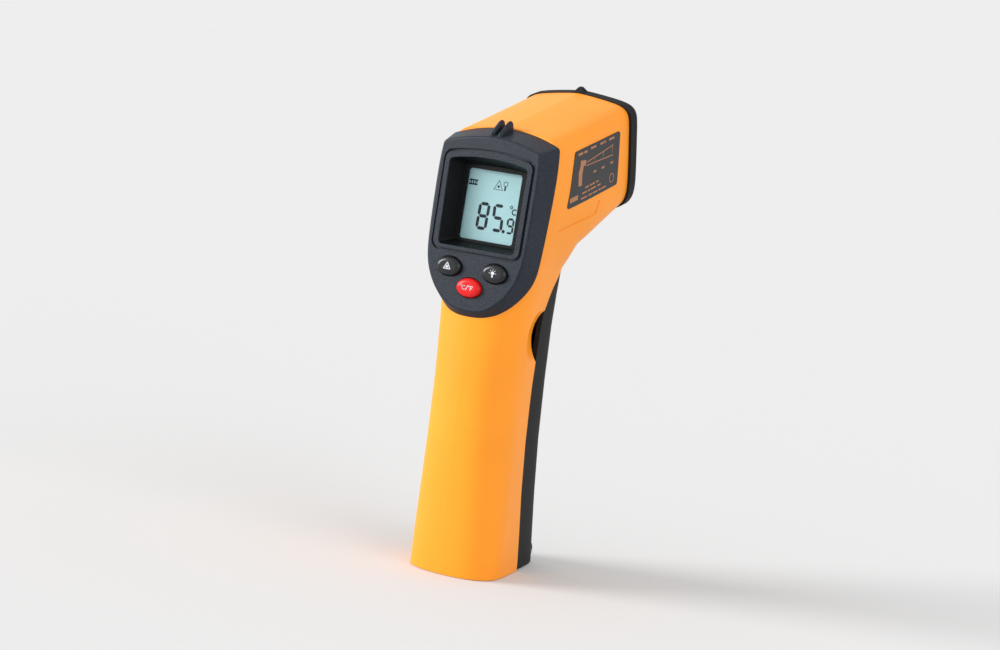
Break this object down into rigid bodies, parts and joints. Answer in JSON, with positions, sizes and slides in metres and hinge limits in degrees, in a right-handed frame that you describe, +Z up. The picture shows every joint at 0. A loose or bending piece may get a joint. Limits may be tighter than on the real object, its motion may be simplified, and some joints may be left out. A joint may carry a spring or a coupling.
{
  "type": "infrared thermometer",
  "caption": "Pistol-shaped non-contact infrared thermometer with a display face at the back, a lens nose, a pull trigger, push keys and a swing-down battery door in the handle.",
  "frame": {"origin": "middle of the bounding box in X and Y, on the plane of the foot", "axes": "+Z up along the handle, +Y from the display towards the lens nose, +X towards the side with the label"},
  "size_m": [0.0426, 0.0758, 0.166],
  "materials": {
    "shell_orange": "satin, finely textured",
    "trim_dark": "satin, finely textured",
    "bezel_grey": "satin, finely textured",
    "key_black": "semi-gloss",
    "key_red": "semi-gloss",
    "label_print": "printed, satin",
    "clear_window": "clear",
    "lcd_cell": "polarised",
    "white_plastic": "matt",
    "conductive_rubber": "matt",
    "circuit_board": "solder mask",
    "black_component": "matt",
    "steel": "plain",
    "nickel": "nickel plated",
    "brass": "turned",
    "lens": "milky, infrared lens",
    "cell_can": "printed sleeve",
    "wire_red": "insulated",
    "wire_grey": "insulated"
  },
  "bodies": {
    "housing": {"right_shell": "shell_orange", "left_shell": "shell_orange", "display_bezel": "bezel_grey", "nose_ring": "trim_dark", "door_pin": "steel", "side_label": "label_print", "lcd_window": "clear_window", "lcd_glass": "lcd_cell", "backlight_diffuser": "white_plastic", "lcd_frame": "black_component", "zebra_strips": "conductive_rubber", "main_board": "circuit_board", "key_switches": "black_component", "controller_chip": "black_component", "buzzer": "black_component", "board_screws": "steel", "optics_tube": "black_component", "fresnel_lens": "lens", "thermopile": "nickel", "sensor_board": "circuit_board", "sensor_carrier": "black_component", "laser_module": "brass", "laser_window": "clear_window", "battery_tray": "trim_dark", "cell_left": "cell_can", "cell_right": "cell_can", "cell_springs": "nickel", "contact_plates": "nickel", "trigger_pin": "steel", "trigger_board": "circuit_board", "trigger_switch": "black_component", "shell_screws": "steel", "battery_wires": "wire_red", "sensor_wires": "wire_grey", "laser_wires": "wire_red", "trigger_wires": "wire_grey"},
    "trigger": {"trigger": "trim_dark", "trigger_spring": "steel"},
    "battery_door": {"battery_door": "trim_dark"},
    "laser_button": {"laser_button": "key_black"},
    "backlight_button": {"backlight_button": "key_black"},
    "unit_button": {"unit_button": "key_red"}
  },
  "joints": [
    {"name": "trigger_pull", "type": "hinge", "parent": "housing", "child": "trigger", "pos_m": [0, -0.00593, 0.1085], "axis": [-1, 0, 0], "range_deg": [0, 7], "stiffness_Nm_per_rad": 0.15, "springref_deg": -5.73},
    {"name": "battery_door_swing", "type": "hinge", "parent": "housing", "child": "battery_door", "pos_m": [0, 0.00997, 0.0039], "axis": [-1, 0, 0], "range_deg": [0, 85]},
    {"name": "laser_button_press", "type": "slide", "parent": "housing", "child": "laser_button", "axis": [0, 0.9968, -0.0803], "range_m": [0, 0.0008], "stiffness_N_per_m": 1500, "springref_m": -0.0003},
    {"name": "backlight_button_press", "type": "slide", "parent": "housing", "child": "backlight_button", "axis": [0, 0.9968, -0.0803], "range_m": [0, 0.0008], "stiffness_N_per_m": 1500, "springref_m": -0.0003},
    {"name": "unit_button_press", "type": "slide", "parent": "housing", "child": "unit_button", "axis": [0, 0.9968, -0.0803], "range_m": [0, 0.0008], "stiffness_N_per_m": 1500, "springref_m": -0.0003}
  ]
}
